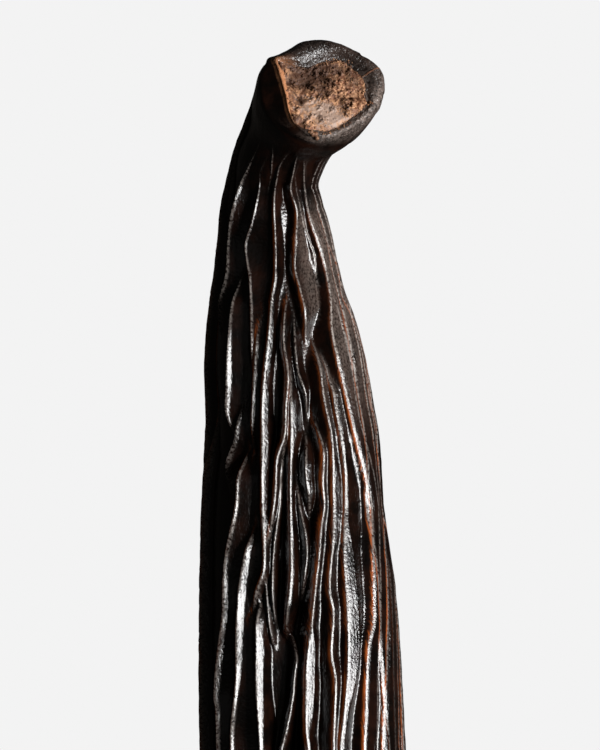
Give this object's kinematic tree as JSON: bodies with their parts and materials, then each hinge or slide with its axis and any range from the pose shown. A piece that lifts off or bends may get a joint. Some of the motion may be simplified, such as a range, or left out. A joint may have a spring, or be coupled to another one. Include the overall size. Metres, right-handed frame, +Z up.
{
  "type": "vanilla pod",
  "caption": "Cured whole vanilla pod: a long, dark, oily seed pod pleated lengthwise, with a hooked stem end broken to a crumbly face and a blunt curling tip.",
  "frame": {"origin": "middle of the pod's footprint, on the surface it lies on", "axes": "+Y along the pod towards the broken stem end, +Z up from the surface it lies on, +X to the right of the stem end seen from above"},
  "size_m": [0.0126, 0.1642, 0.0066],
  "materials": {
    "pod_skin": "near-black brown, oily and wrinkled, with orange-brown where the pleats are thin",
    "pith": "dry, crumbly tan plant tissue on the broken stem face"
  },
  "bodies": {
    "root": {"vanilla_pod": "pod_skin"}
  },
  "joints": []
}
